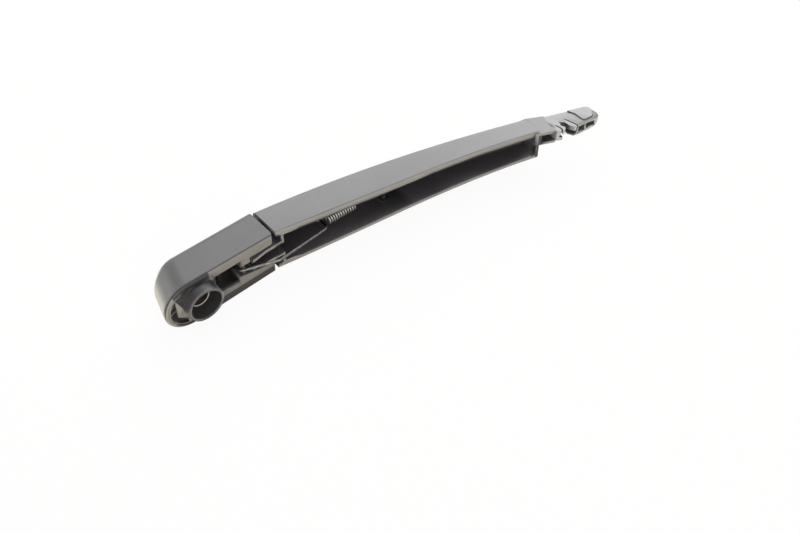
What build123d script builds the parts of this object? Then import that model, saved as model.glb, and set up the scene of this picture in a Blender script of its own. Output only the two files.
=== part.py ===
import math
import os

from build123d import *

# Spindle end of the head: collar, steel bush and nut pocket, all on the Y axis.
rim_y = -0.7
collar_d = 25.0
collar_bore_d = 21.2
collar_drop = 6.6
bush_d = 17.0
bush_l = 13.0
bush_flange_d = 18.2
bush_flange_t = 1.6
taper_mouth_d = 12.8
taper_small_d = 11.0
taper_l = 9.0
serrations = 30
serration_h = 0.45
stud_hole_d = 8.5
pocket_d = 19.2

# Head housing: round drafted end, straight flanks, open underside. The shells' mid plane is at shell_z.
head_x = 56.0
head_y = 26.3
head_round_x = -7.0
head_round_r = 18.5
head_round_top_x = 0.0
head_round_top_r = 17.7
head_half_joint = 17.1
head_wall = 4.0
head_top_wall = 2.6
head_edge_r = 5.2
head_rim_r = 2.2
head_nose_x = -2.6
head_nose_r = 28.0
head_corner_r = 3.0
shelf_x = 12.0
shelf_drop = 0.4
rib_t = 1.2
lip_z = 11.0
lip_joint_z = 9.3
lip_d = 4.0
low_lip_z = -10.4
low_lip_bevel = 2.0
shell_z = -0.5

# Hinge between head and arm, axis along Z.
joint_gap = 2.2
hinge_back = 10.0
hinge_depth = 6.1
hinge_pin_d = 4.0
hinge_play = 0.05
barrel_r = 3.3
tongue_half = 6.4
tongue_t = 2.2
tongue_reach = 17.0
tongue_neck = 2.2
tongue_side_gap = 0.5
hinge_pad_l = 15.0
notch_clear = 1.5

# Hook pin, cranked wire link, coil spring and its far anchor, all on the plane Z = 0.
hook_back = 22.5
hook_y = 3.5
hook_pin_d = 3.8
hook_play = 0.3
link_wire_d = 1.8
link_bend_dx = -1.4
link_bend_y = -7.4
coil_gap_x = 39.3
coil_l = 21.5
coil_mean_r = 3.35
coil_wire_d = 1.3
coil_turns = 12
anchor_x = 84.8
anchor_y = -1.0
anchor_pin_d = 4.0
anchor_pad_l = 30.0
anchor_pad_t = 1.0

# Arm channel: width and depth fall toward the tip and the back arches downward.
arm_l = 190.8
arm_face_step = 2.0
arm_drop = 46.4
arm_arch = 0.44
arm_depth = 24.0
arm_depth_fall = 0.304
arm_belly = 0.84
arm_stations = 12
arm_half_root = 17.1
arm_half_tip = 12.3
arm_side_wall = 4.7
arm_back_wall = 2.5
arm_edge_r = 4.6
arm_edge_r_tip = 3.4
arm_rim_r = 1.2
arm_end_wall = 2.4
arm_end_wall_in = 3.0
tip_wall = 2.2
tip_top_z = 11.4
tip_low_z = 0.6

# Blade connector on the tip tongue.
clip_top_z = 10.8
clip_low_z = 2.4
clip_cap_h = 0.9
clip_slit = 0.9
jaw_z = 7.0
flank_t = 1.3
hook_t = 2.8
seat_r = 2.0
seat_relief = 0.6
seat_dx = 17.2
seat_dy = -21.0

# Nut cap: flush lid with trunnions.
cap_x0 = -11.5
cap_hinge_x = 14.2
cap_half = 11.4
cap_depth = 4.0
cap_hinge_depth = 2.1
cap_gap = 0.35
cap_pin_r = 1.2
cap_pin_l = 1.5
cap_play = 0.08
cap_corner_r = 6.5

collar_r = collar_d / 2
collar_y = rim_y - collar_drop
hinge_x = head_x - hinge_back
hinge_y = head_y - hinge_depth
hook_x = head_x - hook_back
arm_x0 = head_x + joint_gap
arm_x1 = arm_x0 + arm_l
arm_y0 = head_y - arm_face_step
tip_y = arm_y0 - arm_drop
spring_x = arm_x0 + coil_gap_x
pin_a_x = arm_x0 + anchor_x
flank_l = head_x - head_round_x
flank_turn = math.asin(head_round_r / math.hypot(flank_l, head_half_joint))
flank_turn -= math.atan2(head_half_joint, flank_l)


def plane_xz(y):
    return Plane(origin=(0, y, 0), x_dir=(1, 0, 0), z_dir=(0, -1, 0))


def plane_yz(x):
    return Plane(origin=(x, 0, 0), x_dir=(0, 1, 0), z_dir=(1, 0, 0))


def cyl_y(x, z, r, y0, y1):
    return Pos(x, (y0 + y1) / 2, z) * Rot(90, 0, 0) * Cylinder(r, y1 - y0)


def cyl_z(x, y, r, z0, z1):
    return Pos(x, y, (z0 + z1) / 2) * Cylinder(r, z1 - z0)


def block(x0, x1, y0, y1, z0, z1):
    return Pos((x0 + x1) / 2, (y0 + y1) / 2, (z0 + z1) / 2) * Box(x1 - x0, y1 - y0, z1 - z0)


def prism_z(points, z0, z1):
    face = make_face(Polyline(*points, close=True))
    return Pos(0, 0, z0) * extrude(face, amount=z1 - z0, dir=(0, 0, 1))


def prism_x(points, x0, x1):
    face = make_face(Polyline(*points, close=True))
    return extrude(plane_yz(x0) * face, amount=x1 - x0, dir=(1, 0, 0))


def prism_y(points, y0, y1):
    face = make_face(Polyline(*points, close=True))
    return extrude(plane_xz(y0) * face, amount=y1 - y0, dir=(0, 1, 0))


def slit(points, width, z0, z1):
    line = Polyline(*points)
    face = trace(line, line_width=width)
    return Pos(0, 0, z0) * extrude(face, amount=z1 - z0, dir=(0, 0, 1))


# Tapering head body between two heights: a round end and two flat flanks tangent to it.
def head_body(y0, y1, grow, x_end):
    ends = []
    flanks = []
    for y in (y0, y1):
        k = (y - rim_y) / (head_y - rim_y)
        cx = head_round_x + k * (head_round_top_x - head_round_x)
        r = head_round_r + k * (head_round_top_r - head_round_r) + grow
        tx = cx + r * math.sin(flank_turn)
        tz = r * math.cos(flank_turn)
        half_end = tz - (x_end - tx) * math.tan(flank_turn)
        chord = Line((tx, tz), (tx, -tz))
        nose = ThreePointArc((tx, -tz), (cx - r, 0), (tx, tz))
        ends.append(plane_xz(y) * make_face([chord, nose]))
        flanks.append([(tx, y, tz), (x_end, y, half_end), (x_end, y, -half_end), (tx, y, -tz)])
    low, top = flanks
    rings = [low, top]
    for i in range(4):
        j = (i + 1) % 4
        rings.append([low[i], low[j], top[j], top[i]])
    wedge = Solid(Shell([Face(Wire.make_polygon(ring)) for ring in rings]))
    return loft(ends, ruled=True) + wedge


# Side outline of the head: flat back that rolls down over the round end.
def head_side(top, inset):
    r = head_nose_r - inset
    far = head_nose_x - 0.96 * r
    mid = head_nose_x - 0.5 * r
    far_y = top - r + math.sqrt(r * r - (0.96 * r) ** 2)
    mid_y = top - r + math.sqrt(r * r - (0.5 * r) ** 2)
    back = Line((head_x + 20, top), (head_nose_x, top))
    roll = ThreePointArc((head_nose_x, top), (mid, mid_y), (far, far_y))
    rest = Polyline((far, far_y), (far - 20, far_y - 60), (head_x + 20, far_y - 60), (head_x + 20, top))
    return extrude(make_face([back, roll, *rest.edges()]), amount=60, both=True)


# Head housing.
head_solid = head_body(rim_y, head_y, 0, head_x) & head_side(head_y, 0)


def is_back_edge(e):
    c = e.center()
    across = abs(c.Z) < 0.01 and c.X > head_nose_x - 2
    return c.Y > rim_y + 5 and c.X < head_x - 0.5 and not across


head_solid = fillet([e for e in head_solid.edges() if is_back_edge(e)], head_edge_r)


def is_rim_edge(e):
    c = e.center()
    return c.Y < rim_y + 0.01 and c.X < head_x - 0.5


head_solid = Pos(0, 0, shell_z) * fillet([e for e in head_solid.edges() if is_rim_edge(e)], head_rim_r)

hollow = head_body(rim_y - 1, head_y, -head_wall, head_x + 1)
hollow = hollow & head_side(head_y - head_top_wall, head_top_wall)
hollow = Pos(0, 0, shell_z) * hollow

# Collar boss in a faceted shelf that spans the housing, two sloping nose ribs and a cross rib.
boss = cyl_y(0, 0, collar_r, rim_y, head_y - 1)
shelf = [
    (shelf_x, 30),
    (-11.5, 30),
    (-11.5, 17.0),
    (-16.6, 8.6),
    (-16.6, -5.5),
    (-10.5, -10.7),
    (-8.0, -30),
    (shelf_x, -30),
]
inner = boss + prism_y(shelf, rim_y + shelf_drop, head_y - 1)
nose_x = head_round_x - head_round_r
nose_rib = [(nose_x, -2.0), (-16, 1.8), (-16, head_y - 1), (nose_x, head_y - 1)]
inner += prism_z(nose_rib, 3.7, 3.7 + rib_t)
inner += prism_z(nose_rib, -1.2, -1.2 + rib_t)
cross_x = hook_x - 12.0
inner += block(cross_x, cross_x + rib_t, 14.0, head_y - 1, -head_round_r, head_round_r)

# Rims turned inward along both flanks; the lower one has a sloping inner face.
inner += block(shelf_x - 1, hook_x, rim_y - 1, rim_y + lip_d, lip_z, 30)
inner += block(hook_x, head_x + 1, rim_y - 1, rim_y + lip_d, lip_joint_z, 30)
low_lip = [
    (rim_y - 1, low_lip_z),
    (rim_y, low_lip_z),
    (rim_y + low_lip_bevel, low_lip_z + low_lip_bevel),
    (rim_y + lip_d, low_lip_z + low_lip_bevel),
    (rim_y + lip_d, -30),
    (rim_y - 1, -30),
]
inner += prism_x(low_lip, shelf_x - 1, head_x + 1)

# Hinge pads beside the tongue, the hook lug above and the wedge pad below.
pad_in = tongue_half + tongue_side_gap
pad_x0 = head_x - 1 - hinge_pad_l
inner += block(pad_x0, head_x - 1, hinge_y - 8, head_y - 1, pad_in, head_round_r)
inner += block(pad_x0, head_x - 1, hinge_y - 8, head_y - 1, -head_round_r, -pad_in)
lug_x0 = hook_x - 3.4
lug_x1 = hook_x + 4.0
inner += block(lug_x0, lug_x1, rim_y + 0.3, hook_y + 6, 5.0, head_round_r)
wedge = [
    (hook_x - 4.6, -3.4),
    (head_x - 3.4, -8.4),
    (head_x - 3.4, -head_round_r),
    (hook_x - 4.6, -head_round_r),
]
inner += prism_y(wedge, rim_y + 0.5, hook_y + 6)
head = head_solid - (hollow - inner)

# Rounded lower corners at the joint end.
corner_x = head_x - head_corner_r
corner_y = rim_y + head_corner_r
corner_in = 0.31 * head_corner_r
corner_arc = ThreePointArc((head_x, corner_y), (head_x - corner_in, rim_y + corner_in), (corner_x, rim_y))
corner_out = Polyline(
    (corner_x, rim_y),
    (corner_x, rim_y - 2),
    (head_x + 2, rim_y - 2),
    (head_x + 2, corner_y),
    (head_x, corner_y),
)
head -= extrude(make_face([corner_arc, *corner_out.edges()]), amount=40, both=True)
head += cyl_y(0, 0, collar_r, collar_y, rim_y + 3)

# Bores: collar mouth, bush seat and nut pocket.
head -= cyl_y(0, 0, collar_bore_d / 2, collar_y - 1, 0)
head -= cyl_y(0, 0, bush_d / 2, -1, bush_l + 1)
head -= cyl_y(0, 0, pocket_d / 2, bush_l, head_y + 5)

# Notch in the back wall that lets the tongue swing up, and the pin bores of hinge and hook.
notch_x = hinge_x - notch_clear
head -= block(notch_x, head_x + 5, hinge_y, head_y + 5, -pad_in, pad_in)
pin_top = head_half_joint - 3.0
head -= cyl_z(hinge_x, hinge_y, hinge_pin_d / 2 + hinge_play, -head_round_r - 5, pin_top)
hook_top = 10.0
hook_low = -9.0
head -= cyl_z(hook_x, hook_y, hook_pin_d / 2, hook_low, hook_top)

# Nut cap recess with hinge trough and trunnion holes.
cap_floor = head_y - cap_depth
cap_axis_y = head_y - cap_hinge_depth


def cap_outline(grow):
    x0 = cap_x0 - grow
    x1 = cap_hinge_x + cap_hinge_depth + grow
    half = cap_half + grow
    face = Pos((x0 + x1) / 2, 0) * Rectangle(x1 - x0, 2 * half)
    left = face.vertices().group_by(Axis.X)[0]
    face = fillet(left, cap_corner_r + grow)
    return plane_xz(cap_floor - 3) * face


def cap_side(grow):
    reach = cap_hinge_depth + grow
    plate = block(cap_x0 - grow, cap_hinge_x, cap_floor, head_y + 5, -30, 30)
    return plate + cyl_z(cap_hinge_x, cap_axis_y, reach, -30, 30)


# The recess stands open above the trunnions, so that the lid can turn upright.
recess_side = cap_side(cap_gap)
trough_x1 = cap_hinge_x + cap_hinge_depth + cap_gap
recess_side += block(cap_hinge_x, trough_x1, cap_axis_y, head_y + 5, -30, 30)
recess = extrude(cap_outline(cap_gap), amount=40, dir=(0, 1, 0)) & recess_side
head -= recess
cap_pin_end = cap_half + cap_pin_l
hole_r = cap_pin_r + cap_play
head -= cyl_z(cap_hinge_x, cap_axis_y, hole_r, -cap_pin_end - 0.3, cap_pin_end + 0.3)

# Nut cap: the same back surface, a thin plate with a locating ring and two trunnions.
cap = extrude(cap_outline(0), amount=40, dir=(0, 1, 0)) & cap_side(0) & head_solid
cap_under = cyl_y(0, 0, pocket_d / 2 - 1.6, cap_floor - 1, head_y - 2.2)
cap = cap - cap_under
cap += cyl_z(cap_hinge_x, cap_axis_y, cap_pin_r, -cap_pin_end, cap_pin_end)

# Steel bush: flanged, with a serrated taper that opens at the mouth and a stud hole above.
bush = cyl_y(0, 0, bush_d / 2, 0, bush_l) + cyl_y(0, 0, bush_flange_d / 2, bush_l, bush_l + bush_flange_t)


def star(y, r):
    points = []
    for i in range(serrations):
        a = 2 * math.pi * i / serrations
        b = a + math.pi / serrations
        points.append((r * math.cos(a), r * math.sin(a)))
        points.append(((r - serration_h) * math.cos(b), (r - serration_h) * math.sin(b)))
    return plane_xz(y) * make_face(Polyline(*points, close=True))


bush -= loft([star(0, taper_mouth_d / 2), star(taper_l, taper_small_d / 2)], ruled=True)
bush -= cyl_y(0, 0, stud_hole_d / 2, -1, bush_l + bush_flange_t + 1)

# Hinge pin and hook pin.
pin_low = -head_half_joint + 1.6
hinge_pin = cyl_z(hinge_x, hinge_y, hinge_pin_d / 2, pin_low, pin_top - 0.4)
hinge_pin = chamfer(hinge_pin.edges().filter_by(GeomType.CIRCLE), 0.4)
hook_pin = cyl_z(hook_x, hook_y, hook_pin_d / 2, hook_low, hook_top)

# Arm channel: outer loft less inner loft through the same stations; t is 0 at the root and 1 at the end.
def arm_at(t):
    back = arm_y0 - arm_drop * ((1 - arm_arch) * t + arm_arch * t * t)
    rim = back - arm_depth * (1 - arm_depth_fall * t + arm_belly * t * (1 - t) ** 2)
    half = arm_half_root + (arm_half_tip - arm_half_root) * (0.18 * t * (1 - t) + t)
    return rim, back, half


def arm_section(x, rim, back, half, low_r, high_r):
    face = Pos((rim + back) / 2, 0) * Rectangle(back - rim, 2 * half)
    face = fillet(face.vertices().group_by(Axis.X)[0], low_r)
    face = fillet(face.vertices().group_by(Axis.X)[-1], high_r)
    return plane_yz(x) * face


outer_secs = []
inner_secs = []
for i in range(arm_stations + 1):
    t = i / arm_stations
    rim, back, half = arm_at(t)
    x = arm_x0 + arm_l * t
    edge = arm_edge_r + (arm_edge_r_tip - arm_edge_r) * t
    outer_secs.append(arm_section(x, rim, back, half, arm_rim_r, edge))
    thin = arm_side_wall * (1 - 0.06 * t)
    inner_secs.append(arm_section(x, rim - 8, back - arm_back_wall, half - thin, 0.5, edge - 1.6))
arm_solid = Pos(0, 0, shell_z) * loft(outer_secs, ruled=True)
arm_hollow = Pos(0, 0, shell_z) * loft(inner_secs, ruled=True)
kept = block(arm_x1 - arm_end_wall, arm_x1 + 5, tip_y - 60, tip_y + 20, -30, 30)

# Root end walls on both sides of the tongue.
wall_x0 = arm_x0 + arm_end_wall_in
wall_x1 = wall_x0 + arm_end_wall
root_rim = arm_at(0.0)[0]
kept += block(wall_x0, wall_x1, root_rim - 0.9, arm_y0 + 5, tongue_half - tongue_t, 30)
kept += block(wall_x0, wall_x1, root_rim - 0.9, arm_y0 + 5, -30, tongue_t - tongue_half)

# A long pad on the upper wall and a short one on the lower wall seat the spring's anchor pin.
pad_half = arm_at(anchor_x / arm_l)[2]
pad_lo = pin_a_x - anchor_pad_l * 0.72
pad_hi = pin_a_x + anchor_pad_l * 0.28
rim_lo = arm_at((pad_lo - arm_x0) / arm_l)[0]
rim_hi = arm_at((pad_hi - arm_x0) / arm_l)[0]
pad_side = [(pad_lo, rim_lo + 0.5), (pad_hi, rim_hi + 0.5), (pad_hi, arm_y0), (pad_lo, arm_y0)]
pad_face = pad_half - arm_side_wall - anchor_pad_t
kept += prism_z(pad_side, pad_face, 30)
kept += block(pin_a_x - anchor_pin_d, pin_a_x + anchor_pin_d, anchor_y - 3.4, arm_y0, -30, -pad_face)
arm = arm_solid - (arm_hollow - kept)

# Two walls of the tongue that reaches into the head, joggled inward past the hinge.
tongue_x = arm_x0 + 2 - tongue_reach - 4.2
tongue_side = prism_z(
    [
        (wall_x1, root_rim - 0.9),
        (tongue_x, root_rim - 0.4),
        (tongue_x, root_rim + 6),
        (hinge_x - barrel_r + 0.6, hinge_y),
        (hinge_x, hinge_y + barrel_r - 0.5),
        (arm_x0 + 0.5, hinge_y + barrel_r - 0.5),
        (wall_x1, arm_y0 - arm_back_wall + 0.4),
    ],
    -30,
    30,
)
tongue_side += cyl_z(hinge_x, hinge_y, barrel_r, -30, 30)
band = [
    (wall_x1, tongue_half),
    (hinge_x + hinge_pin_d * 0.9, tongue_half),
    (tongue_x + 2.5, tongue_neck + tongue_t),
    (tongue_x - 1, tongue_neck + tongue_t),
    (tongue_x - 1, tongue_neck),
    (tongue_x + 2.5, tongue_neck),
    (hinge_x + hinge_pin_d * 0.75, tongue_half - tongue_t),
    (wall_x1, tongue_half - tongue_t),
]
band_low = [(x, -z) for x, z in band]
walls = prism_y(band, -30, 60) + prism_y(band_low, -30, 60)
arm += (walls & tongue_side) - cyl_z(hinge_x, hinge_y, hinge_pin_d / 2, -20, 20)

# Anchor pin in blind bores of the pads.
anchor_end = pad_face + anchor_pad_t + 1.6
arm -= cyl_z(pin_a_x, anchor_y, anchor_pin_d / 2, -anchor_end, anchor_end)
anchor_pin = cyl_z(pin_a_x, anchor_y, anchor_pin_d / 2, -anchor_end, anchor_end)


# Tip tongue: a narrower open channel that carries on from the upper side wall.
def tip(dx, dy):
    return (arm_x1 + dx, tip_y + dy)


tongue_out = [
    tip(-4, -0.2),
    tip(0.5, -1.0),
    tip(11.6, -7.2),
    tip(9.2, -11.4),
    tip(8.8, -16.0),
    tip(8.4, -22.8),
    tip(-1, -18.2),
    tip(-4, -16.4),
]
tongue_in = [
    tip(0, -3.6),
    tip(13, -10.6),
    tip(13, -30),
    tip(0, -30),
]
tip_body = prism_z(tongue_out, tip_low_z, tip_top_z)
tip_hole = prism_z(tongue_in, tip_low_z + 2.0, tip_top_z - tip_wall)
arm += tip_body - tip_hole

# Blade connector: two flanks joined at back and end, U slot with a pivot seat, latch finger and flexible jaw.
seat = tip(seat_dx, seat_dy)
clip_side = [
    tip(11.9, -7.6),
    tip(27.2, -13.6),
    tip(40.2, -18.8),
    tip(41.9, -20.6),
    tip(42.4, -27.6),
    tip(41.4, -30.4),
    tip(38.8, -31.2),
    tip(31.8, -29.6),
    tip(23.6, -28.2),
    tip(21.2, -27.8),
    tip(19.6, -24.4),
    (seat[0] + seat_r, seat[1]),
    (seat[0] - seat_r, seat[1]),
    tip(15.4, -22.2),
    tip(16.3, -23.5),
    tip(15.6, -24.9),
    tip(13.6, -25.8),
    tip(11.0, -24.9),
    tip(8.8, -23.4),
    tip(9.1, -16.0),
    tip(9.5, -11.4),
]
clip = prism_z(clip_side, clip_low_z, clip_top_z)
clip -= cyl_z(seat[0], seat[1], seat_r, clip_low_z - 5, clip_top_z + 5)
clip -= cyl_z(seat[0], seat[1], seat_r + seat_relief, clip_low_z - 5, jaw_z)

# The lower flank stops short of the finger, and a hollow frees the jaw above it.
low_gap = [
    tip(13.4, -19.2),
    tip(17.9, -19.2),
    tip(17.9, -22.9),
    tip(18.8, -25.3),
    tip(20.6, -29.5),
    tip(14.4, -30.5),
    tip(12.6, -26.2),
    tip(13.4, -23.0),
]
clip -= prism_z(low_gap, clip_low_z - 5, jaw_z)
jaw_hollow = [
    tip(16.4, -19.6),
    tip(23.0, -19.6),
    tip(23.4, -26.4),
    tip(23.4, -30.0),
    tip(16.4, -30.0),
]
clip -= prism_z(jaw_hollow, clip_low_z + flank_t, jaw_z)
hook_gap = [
    tip(10.6, -20.6),
    tip(14.0, -20.6),
    tip(14.0, -27.0),
    tip(10.6, -27.0),
]
clip -= prism_z(hook_gap, clip_low_z + hook_t, jaw_z)

# Rounded lower flank toward the end.
end_x = arm_x1 + 42.4
flank = ThreePointArc((end_x - 13, clip_low_z), (end_x - 5, clip_low_z + 1.3), (end_x + 1, clip_low_z + 5.2))
below = Polyline(
    (end_x + 1, clip_low_z + 5.2),
    (end_x + 1, clip_low_z - 9),
    (end_x - 13, clip_low_z - 9),
    (end_x - 13, clip_low_z),
)
trim = extrude(plane_xz(tip_y - 60) * make_face([flank, *below.edges()]), amount=90, dir=(0, 1, 0))
clip -= trim

# Raised cap on the upper flank.
cap_zone = [
    tip(28.0, -14.0),
    tip(30.1, -19.2),
    tip(30.1, -26.3),
    tip(31.2, -27.7),
    tip(36.9, -28.3),
    tip(38.8, -27.8),
    tip(41.4, -23.9),
    tip(41.2, -20.9),
    tip(40.0, -19.0),
]
clip += prism_z(cap_zone, clip_top_z - 1, clip_top_z + clip_cap_h)

# Two pockets in the underside of the end.
lean = math.radians(-17)
for near, far in ((25.4, 30.2), (31.6, 38.0)):
    z_low = clip_low_z + 2.2 + 0.12 * (near - 25.4)
    pocket = block(near, far, -8, 8, z_low, clip_top_z - 1.7)
    slant = Pos(arm_x1, tip_y - 22.5, 0) * Rot(0, 0, math.degrees(lean))
    clip -= slant * pocket

# Slits on the upper flank: one frees the jaw and runs out at the front, two free the latch finger.
slit_z = jaw_z - 0.5
clip -= slit([tip(21.4, -18.1), tip(23.6, -26.6), tip(23.3, -30.0)], clip_slit, slit_z, clip_top_z + 5)
clip -= slit([tip(16.6, -17.6), tip(16.9, -20.4)], clip_slit, slit_z, clip_top_z + 5)
finger_slit = [tip(12.4, -18.6), tip(13.2, -22.0), tip(13.0, -24.2), tip(10.6, -26.6)]
clip -= slit(finger_slit, clip_slit, slit_z, clip_top_z + 5)

# Spigot and the guide ramp beside the slot.
spigot = [
    tip(2.5, -5.4),
    tip(10.6, -9.9),
    tip(12.6, -10.4),
    tip(12.6, -15.4),
    tip(9.6, -14.6),
    tip(2.5, -11.4),
]
clip += prism_z(spigot, tip_low_z + 2.4, tip_top_z - tip_wall - 0.3)

# Cranked link: eye on the hook pin, bend under the hinge, upturned end that holds the coil.
eye_r = hook_pin_d / 2 + hook_play + link_wire_d / 2
bend = (head_x + link_bend_dx, link_bend_y)
run = math.hypot(bend[0] - hook_x, bend[1] - hook_y)
aim = math.atan2(bend[1] - hook_y, bend[0] - hook_x)
leave = aim - math.acos(eye_r / run)
start = leave - math.radians(235)
halfway = leave - math.radians(117)


def on_eye(a):
    return (hook_x + eye_r * math.cos(a), hook_y + eye_r * math.sin(a))


pull = math.atan2(anchor_y - hook_y, pin_a_x - hook_x)
leg_x = spring_x - 3.4
axis_at_leg = hook_y + (leg_x - hook_x) * math.tan(pull)
hook_arc = ThreePointArc(on_eye(start), on_eye(halfway), on_eye(leave))
shank = FilletPolyline(
    on_eye(leave),
    bend,
    (leg_x, axis_at_leg - 6.2),
    (leg_x, axis_at_leg + coil_mean_r + 2.2),
    radius=3.2,
)


# Round wire along a row of edges: a many-sided section carried from station to station without twist.
def wire(runs, radius, sides, first_side):
    stations = []
    for edge, count in runs:
        stations += [(edge @ (i / count), edge % (i / count)) for i in range(count)]
    last = runs[-1][0]
    stations.append((last @ 1, last % 1))
    side = Vector(*first_side)
    sections = []
    for point, along in stations:
        side = (side - along * side.dot(along)).normalized()
        sections.append(Plane(origin=point, x_dir=side, z_dir=along) * RegularPolygon(radius, sides))
    return loft(sections, ruled=True)


shank_runs = [(edge, 1 if edge.geom_type == GeomType.LINE else 8) for edge in shank.edges()]
link = wire([(hook_arc, 18), *shank_runs], link_wire_d / 2, 14, (0, 0, 1))

# Tension spring along its line of pull: eye on the link's leg, close coil, long tail, eye on the anchor pin.
coil_r = coil_wire_d / 2
helix = Helix(pitch=coil_l / coil_turns, height=coil_l, radius=coil_mean_r)
leg_ring_r = link_wire_d / 2 + hook_play + coil_r
pin_ring_r = anchor_pin_d / 2 + hook_play + coil_r
near_ring = -(spring_x - leg_x) / math.cos(pull)
far_ring = (pin_a_x - spring_x) / math.cos(pull)


def near_eye(deg):
    a = math.radians(deg)
    return (coil_mean_r, leg_ring_r * math.sin(a), near_ring + leg_ring_r * math.cos(a))


def far_eye(deg):
    a = math.radians(deg)
    return (pin_ring_r * math.cos(a), 0, far_ring + pin_ring_r * math.sin(a))


tail_x = (pin_ring_r, 0, coil_l + 5)
near_arc = ThreePointArc(near_eye(30), near_eye(150), near_eye(270))
near_join = Spline(near_eye(270), helix @ 0, tangents=[(0, 0, 1), tuple(helix % 0)])
far_join = Spline(helix @ 1, tail_x, tangents=[tuple(helix % 1), (0, 0, 1)])
tail = Line(tail_x, far_eye(0))
far_arc = ThreePointArc(far_eye(0), far_eye(120), far_eye(240))
near_end = [(near_arc, 10), (near_join, 8)]
far_end = [(far_join, 8), (tail, 1), (far_arc, 12)]
spring = wire([*near_end, (helix, 14 * coil_turns), *far_end], coil_r, 8, (1, 0, 0))
spring_y = hook_y + (spring_x - hook_x) * math.tan(pull)
seat_frame = Plane(origin=(spring_x, spring_y, 0), x_dir=(0, 1, 0), z_dir=(math.cos(pull), math.sin(pull), 0))
spring = seat_frame * spring

os.makedirs("parts", exist_ok=True)
export_step(head, "parts/head_housing.step")
export_step(bush, "parts/spindle_insert.step")
export_step(cap, "parts/nut_cap.step")
export_step(hinge_pin, "parts/hinge_pin.step")
export_step(hook_pin, "parts/hook_pin.step")
export_step(link, "parts/spring_link.step")
export_step(spring, "parts/tension_spring.step")
export_step(anchor_pin, "parts/anchor_pin.step")
export_step(arm, "parts/arm_channel.step")
export_step(clip, "parts/blade_clip.step")
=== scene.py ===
import math

import bpy
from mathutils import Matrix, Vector


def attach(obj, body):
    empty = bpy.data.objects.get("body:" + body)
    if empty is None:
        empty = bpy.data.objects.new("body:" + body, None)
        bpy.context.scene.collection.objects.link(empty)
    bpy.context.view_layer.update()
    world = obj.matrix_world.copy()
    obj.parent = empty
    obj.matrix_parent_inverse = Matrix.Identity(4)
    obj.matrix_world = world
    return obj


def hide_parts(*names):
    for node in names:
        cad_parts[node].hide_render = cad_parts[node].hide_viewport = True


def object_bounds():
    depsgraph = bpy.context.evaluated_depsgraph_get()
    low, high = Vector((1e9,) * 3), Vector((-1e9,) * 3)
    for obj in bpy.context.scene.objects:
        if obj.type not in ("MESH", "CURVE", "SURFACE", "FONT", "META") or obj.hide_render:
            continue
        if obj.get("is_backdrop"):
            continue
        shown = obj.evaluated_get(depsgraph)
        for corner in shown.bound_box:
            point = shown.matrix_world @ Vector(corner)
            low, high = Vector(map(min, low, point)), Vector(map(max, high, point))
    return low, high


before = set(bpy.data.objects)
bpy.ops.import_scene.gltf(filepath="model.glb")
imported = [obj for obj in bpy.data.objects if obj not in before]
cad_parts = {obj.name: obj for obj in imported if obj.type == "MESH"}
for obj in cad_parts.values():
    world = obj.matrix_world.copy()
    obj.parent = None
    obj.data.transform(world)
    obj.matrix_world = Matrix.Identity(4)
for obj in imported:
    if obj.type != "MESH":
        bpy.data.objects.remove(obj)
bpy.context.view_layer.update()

# Head housing: the shell that sits on the wiper spindle, open underneath, with the collar, its shelf, the
# ribs and the hinge pads all in one shot. It is moulded in glass-filled nylon with a fine sparked grain, and
# a nut on the spindle draws it down on its steel bush.
mm = 0.001
weld_gap = 0.002 * mm
level_angle = math.radians(0.4)
sharp_angle = math.radians(38)
smooth_angle = math.radians(32)
head_skin = (0.111, 0.111, 0.115, 1)
head_recess = (0.150, 0.143, 0.145, 1)
head_rim = (0.295, 0.272, 0.235, 1)
head_dark_line = 0.7
# Near-black tone, laid on as painted shade round the collar and in hollows, and on other darkened marks.
dark_tone = (0.026, 0.024, 0.025, 1)
shell_grain = 2600.0
shell_reach = 45 * mm


def moulded_copy(node, name, edge):
    """A welded copy that stands for a solid, with its sharp edges broken by edge, or kept at 0."""
    bpy.ops.object.select_all(action="DESELECT")
    piece = bpy.data.objects.new(name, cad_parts[node].data.copy())
    bpy.context.scene.collection.objects.link(piece)
    piece.data.materials.clear()
    piece.select_set(True)
    bpy.context.view_layer.objects.active = piece
    bpy.ops.object.mode_set(mode="EDIT")
    bpy.ops.mesh.select_all(action="SELECT")
    bpy.ops.mesh.remove_doubles(threshold=weld_gap)
    bpy.ops.mesh.dissolve_limited(angle_limit=level_angle)
    if not edge:
        bpy.ops.mesh.quads_convert_to_tris(ngon_method="BEAUTY")
    bpy.ops.object.mode_set(mode="OBJECT")
    if edge:
        broken = piece.modifiers.new("broken edges", "BEVEL")
        broken.width = edge
        broken.segments = 2
        broken.limit_method = "ANGLE"
        broken.angle_limit = sharp_angle
        broken.use_clamp_overlap = False
        bpy.ops.object.modifier_apply(modifier=broken.name)
    bpy.ops.object.shade_smooth_by_angle(angle=smooth_angle)
    level = piece.modifiers.new("flat faces", "WEIGHTED_NORMAL")
    level.keep_sharp = True
    bpy.ops.object.modifier_apply(modifier=level.name)
    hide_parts(node)
    return piece


def feed(tree, socket, value):
    """Links a socket, or sets it where a plain value is given."""
    if isinstance(value, bpy.types.NodeSocket):
        tree.links.new(value, socket)
    else:
        socket.default_value = value


def fill(tree, node, **values):
    """Feeds a node's inputs by name, with an underscore for each space."""
    for key, value in values.items():
        feed(tree, node.inputs[key.replace("_", " ")], value)
    return node


def add_node(tree, kind, **values):
    """A shader node with its inputs fed."""
    return fill(tree, tree.nodes.new("ShaderNode" + kind), **values)


def add_group(tree, group, **values):
    """A node group placed in a material under its own name, with its inputs fed."""
    placed = tree.nodes.new("ShaderNodeGroup")
    placed.node_tree = group
    placed.name = group.name
    return fill(tree, placed, **values)


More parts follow.
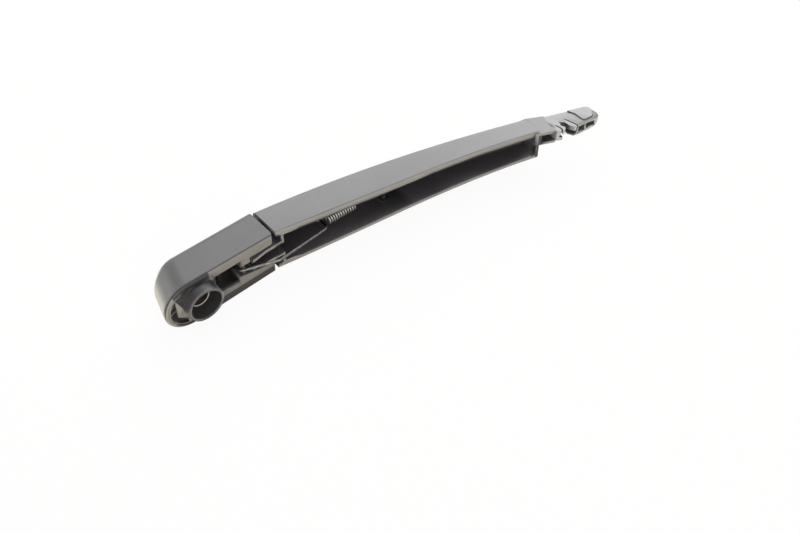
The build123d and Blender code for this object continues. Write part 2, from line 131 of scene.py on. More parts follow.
def start_group(name, takes, gives):
    """A new node group with sockets named by kind: its tree, what it takes in and what it gives out."""
    tree = bpy.data.node_groups.new(name, "ShaderNodeTree")
    for way, sockets in (("INPUT", takes), ("OUTPUT", gives)):
        for kind, labels in sockets.items():
            for label in labels:
                tree.interface.new_socket(label, in_out=way, socket_type="NodeSocket" + kind)
    return tree, tree.nodes.new("NodeGroupInput").outputs, tree.nodes.new("NodeGroupOutput").inputs


def combine(tree, kind, first, second=0.0):
    """One step of arithmetic on one value or two."""
    step = tree.nodes.new("ShaderNodeMath")
    step.operation = kind
    feed(tree, step.inputs[0], first)
    feed(tree, step.inputs[1], second)
    return step.outputs[0]


def all_of(tree, first, *others):
    """Where every mask holds."""
    for other in others:
        first = combine(tree, "MULTIPLY", first, other)
    return first


def any_of(tree, first, *others):
    """Where at least one mask holds."""
    for other in others:
        first = combine(tree, "MAXIMUM", first, other)
    return first


def ramp(tree, value, low, high, to_low=0.0, to_high=1.0):
    """A value carried smoothly from one span to another."""
    eased = add_node(tree, "MapRange", Value=value, From_Min=low, From_Max=high)
    eased.interpolation_type = "SMOOTHSTEP"
    fill(tree, eased, To_Min=to_low, To_Max=to_high)
    return eased.outputs["Result"]


def above(tree, value, span):
    """A mask that comes up as a value rises through a span."""
    return ramp(tree, value, span[0], span[1])


def below(tree, value, span):
    """A mask that dies away as a value rises through a span."""
    return ramp(tree, value, span[1], span[0])


def tint(tree, share, first, second, blend="MIX"):
    """A share of the second colour mixed into the first."""
    mixed = tree.nodes.new("ShaderNodeMix")
    mixed.data_type = "RGBA"
    mixed.blend_type = blend
    feed(tree, mixed.inputs[0], share)
    feed(tree, mixed.inputs[6], first)
    feed(tree, mixed.inputs[7], second)
    return mixed.outputs[2]


def lay_over(tree, share, colour):
    """A colour laid over a material's base colour, where a mask says so."""
    skin = tree.nodes["Principled BSDF"].inputs["Base Color"]
    tree.links.new(tint(tree, share, skin.links[0].from_socket, colour), skin)


def place_in(tree):
    """The place on the piece, in Object coordinates."""
    return tree.nodes.new("ShaderNodeTexCoord").outputs["Object"]


def axes_in(tree):
    """The same place, split into X, Y and Z."""
    return add_node(tree, "SeparateXYZ", Vector=place_in(tree)).outputs


def worn_edges(tree, radius, span):
    """The normal rounded over sharp edges, and a mask of where it leaves the face's own normal."""
    rounded = add_node(tree, "Bevel", Radius=radius)
    rounded.samples = 6
    face = tree.nodes.new("ShaderNodeNewGeometry").outputs["Normal"]
    across = tree.nodes.new("ShaderNodeVectorMath")
    across.operation = "DOT_PRODUCT"
    tree.links.new(rounded.outputs["Normal"], across.inputs[0])
    tree.links.new(face, across.inputs[1])
    return rounded.outputs["Normal"], below(tree, across.outputs["Value"], span)


# Finish of a sparked mould: fine grain, cloudy sheen and drag marks along the piece. An occlusion mask gives
# recesses a painted shade tone of their own, a painted dark line of shade runs round the rim, a painted
# reflection makes the rims that face the front paler, and edges pale as painted highlight and wear.
cloud_scale = 60.0
cloud_span = (0.30, 0.70)
cloud_tone = (0.95, 1.05)
cloud_sheen = (0.36, 0.46)
grain_span = (0.25, 0.75)
grain_tone = (0.90, 1.10)
drag_scale = (15.0, 220.0, 220.0)
drag_span = (0.35, 0.75)
drag_sheen = (-0.015, 0.025)
drag_height = 0.07
unshaded_span = (0.70, 0.95)
rim_facing = (-0.85, -0.45)
rim_reflection_share = 0.85
dark_line_facing = -0.42
dark_line_width = (0.05, 0.22)
edge_round_r = 0.5 * mm
edge_highlight_and_wear_span = (0.90, 0.995)
edge_highlight_and_wear_share = 0.28
finish, taken, given = start_group(
    "moulded finish",
    {"Color": ("Skin", "Recess", "Rim", "Grime"), "Float": ("Grain", "Reach", "Parting", "Grimed")},
    {"Color": ("Colour",), "Float": ("Roughness", "Height", "Open"), "Vector": ("Edge",)},
)
place = finish.nodes.new("ShaderNodeTexCoord").outputs
grain = add_node(finish, "TexNoise", Vector=place["Object"], Scale=taken["Grain"], Detail=3.0).outputs["Fac"]
cloud = add_node(finish, "TexNoise", Vector=place["Object"], Scale=cloud_scale, Detail=4.0).outputs["Fac"]
along = add_node(finish, "Mapping", Vector=place["Object"], Scale=drag_scale).outputs["Vector"]
drag = add_node(finish, "TexNoise", Vector=along, Scale=1.0, Detail=2.0).outputs["Fac"]
around = add_node(finish, "AmbientOcclusion", Distance=taken["Reach"])
around.only_local = True
around.samples = 8
# Painted shade: where the occlusion mask finds a hollow, the recess tone takes the skin's place.
open_air = above(finish, around.outputs["AO"], unshaded_span)
edge, worn = worn_edges(finish, edge_round_r, edge_highlight_and_wear_span)
facing = add_node(finish, "SeparateXYZ", Vector=place["Normal"]).outputs["Y"]
# Painted reflection: rims that face the front take the paler, warm rim colour.
rim_reflection_mask = all_of(finish, below(finish, facing, rim_facing), open_air)
# Painted shade: a dark line where the surface turns between the face and the rim.
off_line = combine(finish, "ABSOLUTE", combine(finish, "SUBTRACT", facing, dark_line_facing))
on_line = all_of(finish, below(finish, off_line, dark_line_width), taken["Parting"])
colour = tint(finish, open_air, taken["Recess"], taken["Skin"])
colour = tint(finish, combine(finish, "MULTIPLY", rim_reflection_mask, rim_reflection_share), colour, taken["Rim"])
# Edges pale towards the rim colour, as painted highlight and as wear.
colour = tint(finish, combine(finish, "MULTIPLY", worn, edge_highlight_and_wear_share), colour, taken["Rim"])
colour = tint(finish, on_line, colour, taken["Grime"])
# Marks fed in by each material take the dark tone: painted shade, and other darkened marks.
colour = tint(finish, taken["Grimed"], colour, taken["Grime"])
shade = ramp(finish, cloud, *cloud_span, *cloud_tone)
speck = ramp(finish, grain, *grain_span, *grain_tone)
colour = tint(finish, 1.0, colour, combine(finish, "MULTIPLY", shade, speck), "MULTIPLY")
sheen = ramp(finish, cloud, *cloud_span, *cloud_sheen)
dragged = ramp(finish, drag, *drag_span, *drag_sheen)
height = combine(finish, "ADD", grain, combine(finish, "MULTIPLY", drag, drag_height))
finish.links.new(colour, given["Colour"])
finish.links.new(combine(finish, "ADD", sheen, dragged), given["Roughness"])
finish.links.new(height, given["Height"])
finish.links.new(open_air, given["Open"])
finish.links.new(edge, given["Edge"])

grain_strength = 0.22
grain_depth = 0.06 * mm
glance_aside = (0.62, 0.97)
grazing_highlight_share = 0.4
grazing_highlight_skin = (0.62, 0.60, 0.53, 1)


def moulded_plastic(name, skin, recess, rim, grain_scale, reach, dark_line_share):
    """Plastic with the moulded finish, at one skin tone and one grain, with a painted highlight that pales it
    at a grazing look.
    """
    plastic = bpy.data.materials.new(name)
    plastic.use_nodes = True
    tree = plastic.node_tree
    look = add_group(tree, finish, Skin=skin, Recess=recess, Rim=rim, Grime=dark_tone)
    fill(tree, look, Grain=grain_scale, Reach=reach, Parting=dark_line_share)
    relief = add_node(tree, "Bump", Strength=grain_strength, Distance=grain_depth)
    fill(tree, relief, Height=look.outputs["Height"], Normal=look.outputs["Edge"])
    aside = add_node(tree, "LayerWeight", Blend=0.5).outputs["Facing"]
    glance = all_of(tree, ramp(tree, aside, *glance_aside, 0.0, grazing_highlight_share), look.outputs["Open"])
    shader = tree.nodes["Principled BSDF"]
    tree.links.new(tint(tree, glance, look.outputs["Colour"], grazing_highlight_skin), shader.inputs["Base Color"])
    tree.links.new(look.outputs["Roughness"], shader.inputs["Roughness"])
    tree.links.new(relief.outputs["Normal"], shader.inputs["Normal"])
    return plastic


head = moulded_copy("head_housing", "head_housing_shell", 0)
nylon = moulded_plastic(
    "head nylon", head_skin, head_recess, head_rim, shell_grain, shell_reach, head_dark_line
)
head.data.materials.append(nylon)


def off_spindle(tree, at):
    """How far a point lies from the spindle's axis."""
    flat = add_node(tree, "CombineXYZ", X=at["X"], Z=at["Z"]).outputs["Vector"]
    spread = tree.nodes.new("ShaderNodeVectorMath")
    spread.operation = "LENGTH"
    tree.links.new(flat, spread.inputs[0])
    return spread.outputs["Value"]


# Painted shade darkens the shelf above the collar, the collar's upper side and its bore, and a painted
# reflection of the floor's shadow darkens the lower rim. A straight slanted edge ends the shade on the shelf.
collar_shade_r = (20.5 * mm, 23.5 * mm)
collar_shade_uneven = 1.0 * mm
collar_shade_patch_scale = 160.0
collar_shade_z = (-6.0 * mm, 5.0 * mm)
collar_shade_y = ((-7.1 * mm, -6.2 * mm), (0.6 * mm, 1.6 * mm))
collar_shade_end_x = (7.7 * mm, 8.7 * mm)
collar_shade_end_z = 12.5 * mm
collar_shade_end_slope = 0.33
slant_edge_x = (-13.0 * mm, -12.4 * mm)
slant_edge_slope = 0.4
bore_shade_r = (10.7 * mm, 11.0 * mm)
bore_shade_y = (-7.2 * mm, -6.8 * mm)
low_rim_shadow_z = (-10.9 * mm, -10.5 * mm)
low_rim_shadow_y = (1.0 * mm, 3.0 * mm)
bore_and_rim_shade_share = 0.9
tree = nylon.node_tree
look = tree.nodes[finish.name]
at = axes_in(tree)
out = off_spindle(tree, at)
patch = add_node(tree, "TexNoise", Vector=place_in(tree), Scale=collar_shade_patch_scale, Detail=3.0).outputs["Fac"]
reach = combine(tree, "ADD", out, ramp(tree, patch, 0.3, 0.7, -collar_shade_uneven, collar_shade_uneven))
under = combine(tree, "MINIMUM", combine(tree, "SUBTRACT", at["Z"], collar_shade_end_z), 0.0)
run_out = combine(tree, "ADD", at["X"], combine(tree, "MULTIPLY", under, collar_shade_end_slope))
slant = combine(tree, "ADD", at["X"], combine(tree, "MULTIPLY", at["Z"], slant_edge_slope))
on_shelf = all_of(tree, below(tree, reach, collar_shade_r), above(tree, at["Z"], collar_shade_z))
in_depth = all_of(tree, above(tree, at["Y"], collar_shade_y[0]), below(tree, at["Y"], collar_shade_y[1]))
shade_round_collar = all_of(tree, on_shelf, in_depth, below(tree, run_out, collar_shade_end_x), above(tree, slant, slant_edge_x))
in_bore = all_of(tree, below(tree, out, bore_shade_r), above(tree, at["Y"], bore_shade_y))
low_rim_dark_reflection = all_of(tree, below(tree, at["Z"], low_rim_shadow_z), below(tree, at["Y"], low_rim_shadow_y))
bore_and_low_rim = combine(tree, "MULTIPLY", any_of(tree, in_bore, low_rim_dark_reflection), bore_and_rim_shade_share)
tree.links.new(any_of(tree, shade_round_collar, bore_and_low_rim), look.inputs["Grimed"])

# A painted highlight pales the nose where it is seen at a grazing angle, and a painted reflection pales the
# shelf beyond the slanted edge.
nose_highlight_x = (-15.0 * mm, -7.0 * mm)
nose_highlight_aside = (0.38, 0.72)
nose_highlight_share = 0.85
nose_highlight_skin = (0.68, 0.66, 0.58, 1)
pale_patch_y = ((-0.6 * mm, -0.5 * mm), (-0.1 * mm, 0.2 * mm))
pale_patch_share = 0.8
pale_patch_skin = (0.44, 0.41, 0.35, 1)
aside = add_node(tree, "LayerWeight", Blend=0.5).outputs["Facing"]
nose_highlight_mask = all_of(tree, ramp(tree, aside, *nose_highlight_aside, 0.0, nose_highlight_share), below(tree, at["X"], nose_highlight_x))
lay_over(tree, all_of(tree, nose_highlight_mask, look.outputs["Open"]), nose_highlight_skin)
# Painted reflection: the rim plane beyond the slanted edge is painted pale.
pale_patch_mask = all_of(tree, above(tree, at["Y"], pale_patch_y[0]), below(tree, at["Y"], pale_patch_y[1]))
pale_patch_mask = all_of(tree, pale_patch_mask, below(tree, slant, slant_edge_x))
lay_over(tree, combine(tree, "MULTIPLY", pale_patch_mask, pale_patch_share), pale_patch_skin)
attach(head, "head")

# Spindle bush: a turned steel insert pressed into the collar, with a serrated taper that bites on the
# spindle. It is phosphated almost black, with edges worn bright. A painted highlight rings the edge of the
# bore at its mouth, and the mouth face beyond the ring is darkened.
bush_edge = 0.2 * mm
bush_dark = (0.075, 0.062, 0.055, 1)
bush_bright = (0.34, 0.31, 0.28, 1)
bush_rings = 700.0
mouth_highlight_tone = (0.90, 0.87, 0.80, 1)
mouth_y = (0.3 * mm, 0.7 * mm)
mouth_highlight_r = (6.3 * mm, 6.7 * mm)
mouth_dark_r = (6.4 * mm, 6.8 * mm)
bush = moulded_copy("spindle_insert", "spindle_bush", bush_edge)

# Finish of turned or drawn steel: a cloudy film, and edges worn bright.
film_scale = 420.0
film_span = (0.35, 0.70)
film_share = 0.30
sheen_span = (0.3, 0.7)
steel_wear_r = 0.25 * mm
steel_wear = (0.86, 0.99)
steel_finish, taken, given = start_group(
    "steel finish",
    {"Color": ("Dark", "Bright"), "Float": ("Smooth", "Rough")},
    {"Color": ("Colour",), "Float": ("Roughness",)},
)
place = place_in(steel_finish)
film = add_node(steel_finish, "TexNoise", Vector=place, Scale=film_scale, Detail=4.0).outputs["Fac"]
worn = worn_edges(steel_finish, steel_wear_r, steel_wear)[1]
share = any_of(steel_finish, worn, ramp(steel_finish, film, *film_span, 0.0, film_share))
sheen = ramp(steel_finish, film, *sheen_span, taken["Smooth"], taken["Rough"])
steel_finish.links.new(tint(steel_finish, share, taken["Dark"], taken["Bright"]), given["Colour"])
steel_finish.links.new(sheen, given["Roughness"])

ring_wobble = 1.5
ring_strength = 0.15
ring_depth = 0.03 * mm


def steel(name, dark, bright, metal, smooth, rough, ring_axis, ring_scale):
    """Steel with that finish, between two roughnesses, with its tool rings across one axis."""
    bar = bpy.data.materials.new(name)
    bar.use_nodes = True
    tree = bar.node_tree
    look = add_group(tree, steel_finish, Dark=dark, Bright=bright, Smooth=smooth, Rough=rough)
    rings = add_node(tree, "TexWave", Vector=place_in(tree), Scale=ring_scale, Distortion=ring_wobble)
    rings.bands_direction = ring_axis
    relief = add_node(tree, "Bump", Strength=ring_strength, Distance=ring_depth, Height=rings.outputs["Fac"])
    shader = fill(tree, tree.nodes["Principled BSDF"], Metallic=metal)
    tree.links.new(look.outputs["Colour"], shader.inputs["Base Color"])
    tree.links.new(look.outputs["Roughness"], shader.inputs["Roughness"])
    tree.links.new(relief.outputs["Normal"], shader.inputs["Normal"])
    return bar


phosphated = steel("phosphated steel", bush_dark, bush_bright, 0.4, 0.38, 0.55, "Y", bush_rings)
bush.data.materials.append(phosphated)
tree = phosphated.node_tree
at = axes_in(tree)
out = off_spindle(tree, at)
# The mouth face beyond the ring takes the dark tone, and a painted highlight rings the bore's edge.
at_mouth = below(tree, at["Y"], mouth_y)
lay_over(tree, all_of(tree, above(tree, out, mouth_dark_r), at_mouth), dark_tone)
lay_over(tree, all_of(tree, below(tree, out, mouth_highlight_r), at_mouth), mouth_highlight_tone)
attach(bush, "head")

# Nut cap: the flush lid over the spindle nut, moulded in the same nylon as the head and snapped into it by
# two trunnions, so that it swings up.
cap_edge = 0.2 * mm
cap_skin = (0.110, 0.110, 0.115, 1)
cap_grain = 3100.0
cap_reach = 8 * mm
cap = moulded_copy("nut_cap", "nut_cap_lid", cap_edge)
nylon = moulded_plastic("cap nylon", cap_skin, head_recess, head_rim, cap_grain, cap_reach, 0.0)
cap.data.materials.append(nylon)
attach(cap, "cap")

# Hinge, hook and anchor pins: steel rod, cropped to length and pressed home. The first two are zinc plated,
# and the anchor pin, out of sight in the channel, is coloured near black as painted shade.
pin_edge = 0.3 * mm
pin_rings = 900.0
pin_dark = (0.30, 0.29, 0.27, 1)
pin_bright = (0.62, 0.61, 0.58, 1)
black_dark = (0.045, 0.043, 0.042, 1)
black_bright = (0.16, 0.155, 0.15, 1)
plated = steel("plated pin steel", pin_dark, pin_bright, 0.85, 0.28, 0.42, "Z", pin_rings)
# The anchor pin's near-black steel is painted shade in the channel.
black = steel("black pin steel", black_dark, black_bright, 0.6, 0.34, 0.48, "Z", pin_rings)
pins = (("hinge_pin", "arm", plated), ("hook_pin", "head", plated), ("anchor_pin", "arm", black))
for node, body, rod in pins:
    pin = moulded_copy(node, node + "_rod", pin_edge)
    pin.data.materials.append(rod)
    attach(pin, body)

# Spring link: one length of hard wire, hooked round the pin in the head, cranked under the hinge and turned
# up at its far end to take the spring. The wire is drawn bright and thinly oiled, and its end is darkened.
link_wire_r = 0.9 * mm
link_sides = 20
link_end_round = 0.35 * mm
hook_at = (33.5 * mm, 3.5 * mm)
hook_r = 3.1 * mm
hook_wrap = math.radians(235)
hook_steps = 30
crank_at = (54.6 * mm, -7.4 * mm)
crank_r = 3.2 * mm
crank_steps = 10
leg_x = 94.1 * mm
leg_drop = 6.2 * mm
leg_rise = 5.55 * mm
end_angle = math.radians(60)
wire_smooth_angle = math.radians(50)
link_dark = (0.15, 0.145, 0.14, 1)
link_bright = (0.45, 0.44, 0.43, 1)
link_rings = 500.0
anchor_at = (143.0 * mm, -1.0 * mm)
pull = math.atan2(anchor_at[1] - hook_at[1], anchor_at[0] - hook_at[0])
leg_mid = hook_at[1] + (leg_x - hook_at[0]) * math.tan(pull)
black_x = (92.4 * mm, 93.2 * mm)
black_y = (leg_mid - 5.6 * mm, leg_mid - 4.6 * mm)


def start_wire(name, at, heading, radius, sides):
    """The open end of a wire in the middle plane, ready to be drawn on along its heading."""
    bpy.ops.object.select_all(action="DESELECT")
    across = (math.pi / 2, 0, heading + math.pi / 2)
    bpy.ops.mesh.primitive_circle_add(
        vertices=sides, radius=radius, location=(at[0], at[1], 0), rotation=across
    )
    piece = bpy.context.active_object
    piece.name = name
    bpy.ops.object.transform_apply(location=True, rotation=True, scale=True)
    bpy.ops.object.mode_set(mode="EDIT")
    bpy.ops.mesh.select_all(action="SELECT")
    return piece


def draw_on(start, end):
    """Carries the open end straight from one point to another."""
    step = (end[0] - start[0], end[1] - start[1], 0)
    bpy.ops.mesh.extrude_region_move(TRANSFORM_OT_translate={"value": step})


def wrap_on(center, turn, steps):
    """Carries the open end round a centre in the middle plane; a positive turn is to the left."""
    axis = (0, 0, -1) if turn > 0 else (0, 0, 1)
    bpy.ops.mesh.spin(steps=steps, angle=abs(turn), center=(center[0], center[1], 0), axis=axis)


def close_wire(piece, end_round):
    """Both cropped ends are filled, their rims rounded, and the faces turned outwards."""
    bpy.ops.mesh.select_all(action="DESELECT")
    bpy.ops.mesh.select_mode(type="EDGE")
    bpy.ops.mesh.select_non_manifold(extend=False)
    bpy.ops.mesh.fill_holes(sides=0)
    bpy.ops.mesh.select_all(action="SELECT")
    bpy.ops.mesh.remove_doubles(threshold=weld_gap)
    bpy.ops.mesh.normals_make_consistent(inside=False)
    bpy.ops.object.mode_set(mode="OBJECT")
    rim = piece.modifiers.new("rounded ends", "BEVEL")
    rim.width = end_round
    rim.segments = 3
    rim.limit_method = "ANGLE"
    rim.angle_limit = end_angle
    bpy.ops.object.modifier_apply(modifier=rim.name)
    bpy.ops.object.shade_smooth_by_angle(angle=wire_smooth_angle)


def on_hook(turn):
    """A point on the hook's bend."""
    return (hook_at[0] + hook_r * math.cos(turn), hook_at[1] + hook_r * math.sin(turn))


run = math.hypot(crank_at[0] - hook_at[0], crank_at[1] - hook_at[1])
aim = math.atan2(crank_at[1] - hook_at[1], crank_at[0] - hook_at[0])
leave = aim - math.acos(hook_r / run)
begin = leave - hook_wrap
link = start_wire("spring_link_wire", on_hook(begin), begin + math.pi / 2, link_wire_r, link_sides)
wrap_on(hook_at, hook_wrap, hook_steps)
route = [on_hook(leave), crank_at, (leg_x, leg_mid - leg_drop), (leg_x, leg_mid + leg_rise)]
here = route[0]
for before, corner, after in zip(route, route[1:], route[2:]):
    into = math.atan2(corner[1] - before[1], corner[0] - before[0])
    onward = math.atan2(after[1] - corner[1], after[0] - corner[0])
    turn = onward - into
    short = crank_r * math.tan(abs(turn) / 2)
    bend_start = (corner[0] - short * math.cos(into), corner[1] - short * math.sin(into))
    side = math.copysign(crank_r, turn)
    middle = (bend_start[0] - side * math.sin(into), bend_start[1] + side * math.cos(into))
    draw_on(here, bend_start)
    wrap_on(middle, turn, crank_steps)
    here = (corner[0] + short * math.cos(onward), corner[1] + short * math.sin(onward))
draw_on(here, route[-1])
close_wire(link, link_end_round)
oiled = steel("oiled wire", link_dark, link_bright, 0.75, 0.14, 0.24, "X", link_rings)
link.data.materials.append(oiled)
tree = oiled.node_tree
at = axes_in(tree)
lay_over(tree, all_of(tree, above(tree, at["X"], black_x), above(tree, at["Y"], black_y)), dark_tone)
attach(link, "link")
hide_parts("spring_link")

# Tension spring: twelve turns of drawn spring wire, hooked on the link's upturned leg. A straight tail runs
# on from the far turns to an eye on the anchor pin, and draws out of the coil as the arm is lifted.
coil_wire_r = 0.65 * mm
coil_sides = 12
coil_end_round = 0.25 * mm
coil_r = 3.35 * mm
coil_l = 21.5 * mm
coil_turns = 12
coil_steps = 30
coil_x = 97.5 * mm
coil_y = hook_at[1] + (coil_x - hook_at[0]) * math.tan(pull)
eye_r = 1.85 * mm
eye_y = leg_mid + coil_r
eye_end = Vector((leg_x, eye_y, -eye_r))
eye_wrap = math.radians(240)
eye_steps = 18
bridge_cuts = 8
spring_dark = (0.36, 0.35, 0.33, 1)
spring_bright = (0.70, 0.69, 0.66, 1)
spring_rings = 800.0
bpy.ops.object.select_all(action="DESELECT")
bpy.ops.mesh.primitive_circle_add(vertices=coil_sides, radius=coil_wire_r, location=(0, coil_r, 0))
coil = bpy.context.active_object
coil.name = "spring_coil"
bpy.ops.object.transform_apply(location=True, rotation=True, scale=True)
winding = coil.modifiers.new("winding", "SCREW")
winding.axis = "X"
winding.angle = 2 * math.pi
winding.screw_offset = coil_l / coil_turns
winding.iterations = coil_turns
winding.steps = coil_steps
winding.render_steps = coil_steps
bpy.ops.object.modifier_apply(modifier=winding.name)
coil.rotation_euler = (0, 0, pull)
coil.location = (coil_x, coil_y, 0)
bpy.ops.object.transform_apply(location=True, rotation=True, scale=True)

# The near hook is drawn round the leg and bridged into the first turn.
bpy.ops.object.select_all(action="DESELECT")
bpy.ops.mesh.primitive_circle_add(
    vertices=coil_sides, radius=coil_wire_r, location=eye_end, rotation=(0, math.pi / 2, 0)
)
bpy.ops.object.transform_apply(location=True, rotation=True, scale=True)
bpy.ops.object.mode_set(mode="EDIT")
bpy.ops.mesh.select_all(action="SELECT")
bpy.ops.mesh.spin(steps=eye_steps, angle=eye_wrap, center=(leg_x, eye_y, 0), axis=(0, -1, 0))
bpy.ops.object.mode_set(mode="OBJECT")
coil.select_set(True)
bpy.context.view_layer.objects.active = coil
bpy.ops.object.join()
bpy.ops.object.mode_set(mode="EDIT")
bpy.ops.mesh.select_mode(type="EDGE")
bpy.ops.mesh.select_all(action="DESELECT")
bpy.ops.object.mode_set(mode="OBJECT")
faces_on = {}
for face in coil.data.polygons:
    for key in face.edge_keys:
        faces_on[key] = faces_on.get(key, 0) + 1
for rim in coil.data.edges:
    middle = sum((coil.data.vertices[i].co for i in rim.vertices), Vector()) / 2
    beside_start = abs(middle.x - coil_x) < 2 * coil_wire_r and abs(middle.z) < coil_wire_r
    first_turn = beside_start and middle.y > coil_y + coil_r / 2
    eye_mouth = (middle - eye_end).length < 1.3 * coil_wire_r
    rim.select = faces_on.get(tuple(sorted(rim.vertices))) == 1 and (first_turn or eye_mouth)
bpy.ops.object.mode_set(mode="EDIT")
bpy.ops.mesh.bridge_edge_loops(number_cuts=bridge_cuts, interpolation="SURFACE", smoothness=1.0)
close_wire(coil, coil_end_round)
drawn = steel("drawn spring wire", spring_dark, spring_bright, 0.8, 0.26, 0.40, "X", spring_rings)
coil.data.materials.append(drawn)
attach(coil, "link")
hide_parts("tension_spring")

# The tail runs 10 mm inside the coil, so that it draws out to the last turn when the spring is stretched, and
# steps out to its ring on the anchor pin.
tail_r = 2.05 * mm
tail_inside = 10.4 * mm
ring_r = 2.95 * mm
ring_wrap = math.radians(285)
ring_steps = 28
step_starts = 12 * mm
step_ends = 6 * mm
far = (math.cos(pull), math.sin(pull))
up = (-math.sin(pull), math.cos(pull))


def beside_axis(along, out):
    """A point beside the spring's line of pull, counted from the coil's first turn."""
    return (coil_x + along * far[0] + out * up[0], coil_y + along * far[1] + out * up[1])


ring_at = (anchor_at[0] - coil_x) / far[0]
stops = [
    beside_axis(coil_l - tail_inside, tail_r),
    beside_axis(ring_at - step_starts, tail_r),
    beside_axis(ring_at - step_ends, ring_r),
    beside_axis(ring_at, ring_r),
]
tail = start_wire("spring_tail", stops[0], pull, coil_wire_r, coil_sides)
for stop, following in zip(stops, stops[1:]):
    draw_on(stop, following)
wrap_on(anchor_at, -ring_wrap, ring_steps)
close_wire(tail, coil_end_round)
tail.data.materials.append(drawn)
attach(tail, "arm")

# Arm channel: the long tapering shell that carries the spring and the connector, moulded in the same grained
# nylon as the head. Its tongue reaches into the head and turns on the hinge pin.
arm_skin = (0.186, 0.184, 0.188, 1)
arm_tip_sheen_skin = (0.262, 0.260, 0.265, 1)
arm_rim = (0.375, 0.356, 0.315, 1)
arm_recess = (0.072, 0.067, 0.073, 1)
arm_dark_line = 0.08
tip_end_x = 257.0 * mm
tip_close = 0.34 * mm
arm = moulded_copy("arm_channel", "arm_channel_shell", 0)
nylon = moulded_plastic("arm nylon", arm_skin, arm_recess, arm_rim, shell_grain, shell_reach, arm_dark_line)
arm.data.materials.append(nylon)

# The tongue at the tip closes up on the connector's shoulder.
bpy.ops.object.mode_set(mode="EDIT")
bpy.ops.mesh.select_mode(type="VERT")
bpy.ops.mesh.select_all(action="DESELECT")
bpy.ops.object.mode_set(mode="OBJECT")
for corner in arm.data.vertices:
    corner.select = corner.co.x > tip_end_x
bpy.ops.object.mode_set(mode="EDIT")
bpy.ops.transform.translate(value=(tip_close, 0, 0))
bpy.ops.object.mode_set(mode="OBJECT")

# The skin is painted paler towards the tip as a painted sheen. The end wall beside the tongue is darkened,
# and painted shade darkens the anchor pin's pads.
tip_sheen_x = (150 * mm, 266 * mm)
upper_dark_x = (246.8 * mm, 247.2 * mm)
upper_dark_z = (9.0 * mm, 9.4 * mm)
lower_dark_x = (243.6 * mm, 244.2 * mm)
lower_dark_z = ((-10.5 * mm, -9.8 * mm), (-0.8 * mm, -0.2 * mm))
end_wall_x = (249.2 * mm, 249.6 * mm)
end_wall_y = (-36.5 * mm, -35.0 * mm)
pad_shade_l = (8 * mm, 16 * mm)
pad_shade_y = (6.9 * mm, 7.3 * mm)
pad_shade_z = ((-11.0 * mm, -10.4 * mm), (8.6 * mm, 9.2 * mm))
dark_share = 0.9
tree = nylon.node_tree
look = tree.nodes[finish.name]
at = axes_in(tree)
tree.links.new(tint(tree, above(tree, at["X"], tip_sheen_x), arm_skin, arm_tip_sheen_skin), look.inputs["Skin"])
upper = all_of(tree, above(tree, at["X"], upper_dark_x), below(tree, at["Z"], upper_dark_z))
lower = all_of(tree, above(tree, at["Z"], lower_dark_z[0]), below(tree, at["Z"], lower_dark_z[1]))
lower = all_of(tree, lower, above(tree, at["X"], lower_dark_x))
end_wall = all_of(tree, below(tree, at["X"], end_wall_x), below(tree, at["Y"], end_wall_y))
on_wall = all_of(tree, any_of(tree, upper, lower), end_wall)
# Painted shade: the anchor pin's pads, deep in the channel, are darkened.
beside_pin = combine(tree, "ABSOLUTE", combine(tree, "SUBTRACT", at["X"], anchor_at[0]))
on_pads = all_of(tree, below(tree, beside_pin, pad_shade_l), below(tree, at["Y"], pad_shade_y))
on_pads = all_of(tree, on_pads, above(tree, at["Z"], pad_shade_z[0]), below(tree, at["Z"], pad_shade_z[1]))
darkening = combine(tree, "MULTIPLY", any_of(tree, on_wall, on_pads), dark_share)
tree.links.new(darkening, look.inputs["Grimed"])
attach(arm, "arm")

# Tip connector: a clip moulded in paler acetal, with a latch finger and a sprung jaw round the pivot seat.
# It is pressed on the arm's tip tongue.
clip_skin = (0.39, 0.385, 0.39, 1)
clip_recess = (0.060, 0.058, 0.060, 1)
clip_rim = (0.58, 0.56, 0.52, 1)
clip_grain = 3400.0
clip_reach = 9 * mm
clip = moulded_copy("blade_clip", "blade_connector", 0)
acetal = moulded_plastic("connector acetal", clip_skin, clip_recess, clip_rim, clip_grain, clip_reach, 0.0)
clip.data.materials.append(acetal)
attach(clip, "arm")

# Studio: a sheet of warm white paper under the part, which stays white to the eye and keeps a faint shadow.
floor_size = 6.0
floor_gap = 0.2 * mm
paper_dark = (0.90, 0.88, 0.84, 1)
paper_light = (0.94, 0.92, 0.88, 1)
fibre_scale = 180.0
white_share = 0.94
low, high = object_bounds()
middle = (low + high) / 2
bpy.ops.object.select_all(action="DESELECT")
bpy.ops.mesh.primitive_plane_add(size=floor_size, location=(middle.x, middle.y, low.z - floor_gap))
floor = bpy.context.active_object
floor.name = "studio_floor"
bpy.ops.object.transform_apply(location=True, rotation=True, scale=True)
paper = bpy.data.materials.new("white paper")
paper.use_nodes = True
tree = paper.node_tree
fibre = add_node(tree, "TexNoise", Vector=place_in(tree), Scale=fibre_scale, Detail=3.0).outputs["Fac"]
shader = fill(tree, tree.nodes["Principled BSDF"], Roughness=0.9)
tree.links.new(tint(tree, fibre, paper_dark, paper_light), shader.inputs["Base Color"])
white = add_node(tree, "Emission", Color=(1, 1, 1, 1), Strength=1.0)
rays = tree.nodes.new("ShaderNodeLightPath").outputs
whitened = add_node(tree, "MixShader", Fac=combine(tree, "MULTIPLY", rays["Is Camera Ray"], white_share))
tree.links.new(shader.outputs["BSDF"], whitened.inputs[1])
tree.links.new(white.outputs["Emission"], whitened.inputs[2])
tree.links.new(whitened.outputs["Shader"], tree.nodes["Material Output"].inputs["Surface"])
floor.data.materials.append(paper)
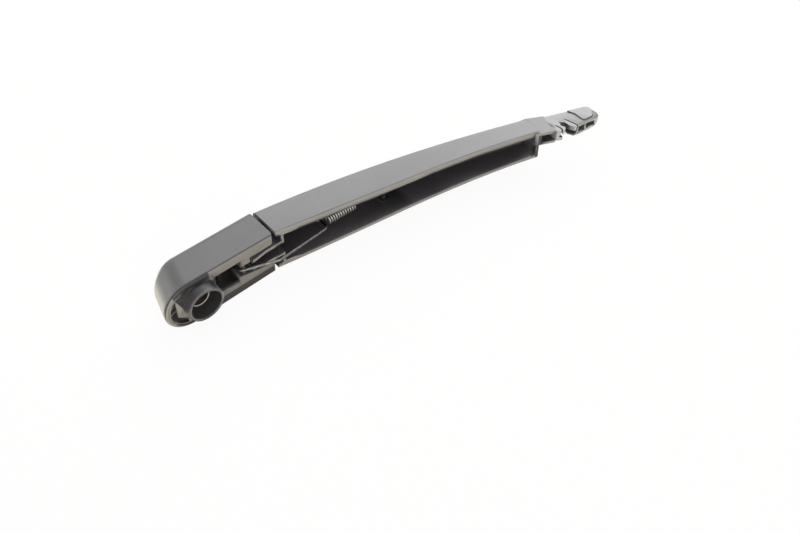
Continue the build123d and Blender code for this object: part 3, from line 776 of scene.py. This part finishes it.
floor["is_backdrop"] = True

# Light: a white room, a broad softbox behind, one overhead, a warm card at the spindle end and a front fill.
room_tone = (0.97, 0.98, 1.0, 1)
room_light = 0.42
room = bpy.data.worlds.new("white room")
bpy.context.scene.world = room
room.use_nodes = True
tree = room.node_tree
even = fill(tree, tree.nodes["Background"], Color=room_tone)
rays = tree.nodes.new("ShaderNodeLightPath").outputs
seen = any_of(tree, rays["Is Camera Ray"], rays["Is Glossy Ray"], rays["Is Transmission Ray"])
tree.links.new(ramp(tree, seen, 0.0, 1.0, room_light, 1.0), even.inputs["Strength"])


def softbox(name, at, aim, size, power, colour):
    """A round area lamp that looks at a point."""
    lamp = bpy.data.lights.new(name, "AREA")
    lamp.shape = "DISK"
    lamp.size = size
    lamp.energy = power
    lamp.color = colour
    holder = bpy.data.objects.new(name, lamp)
    bpy.context.scene.collection.objects.link(holder)
    holder.location = at
    holder.rotation_euler = (Vector(aim) - Vector(at)).to_track_quat("-Z", "Y").to_euler()


plain_white = (1, 1, 1)
card_white = (1.0, 0.96, 0.86)
fill_white = (1.0, 0.95, 0.88)
spindle_end = (low.x, middle.y, 0)
softbox("back softbox", (middle.x + 0.80, middle.y + 0.64, 0.84), middle, 1.3, 13.0, plain_white)
softbox("overhead softbox", (middle.x, middle.y, 1.30), middle, 1.2, 3.2, plain_white)
softbox("warm card", (low.x - 0.60, middle.y + 0.75, 0.22), spindle_end, 0.9, 4.0, card_white)
softbox("front fill", (middle.x - 0.2, middle.y - 1.0, 0.25), middle, 0.9, 3.4, fill_white)

# Camera: in front of the open underside and above it, a little towards the spindle end.
camera_at = (-0.200775, -0.420552, 0.56796)
camera_tilt = math.radians(39.89)
camera_turn = math.radians(-40.527)
lens = bpy.data.cameras.new("camera")
lens.sensor_width = 36.0
lens.lens = 54.0
lens.clip_start = 0.01
camera = bpy.data.objects.new("camera", lens)
bpy.context.scene.collection.objects.link(camera)
camera.location = camera_at
camera.rotation_euler = (camera_tilt, 0, camera_turn)
bpy.context.scene.camera = camera
bpy.context.scene.view_settings.view_transform = "Standard"

low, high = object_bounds()
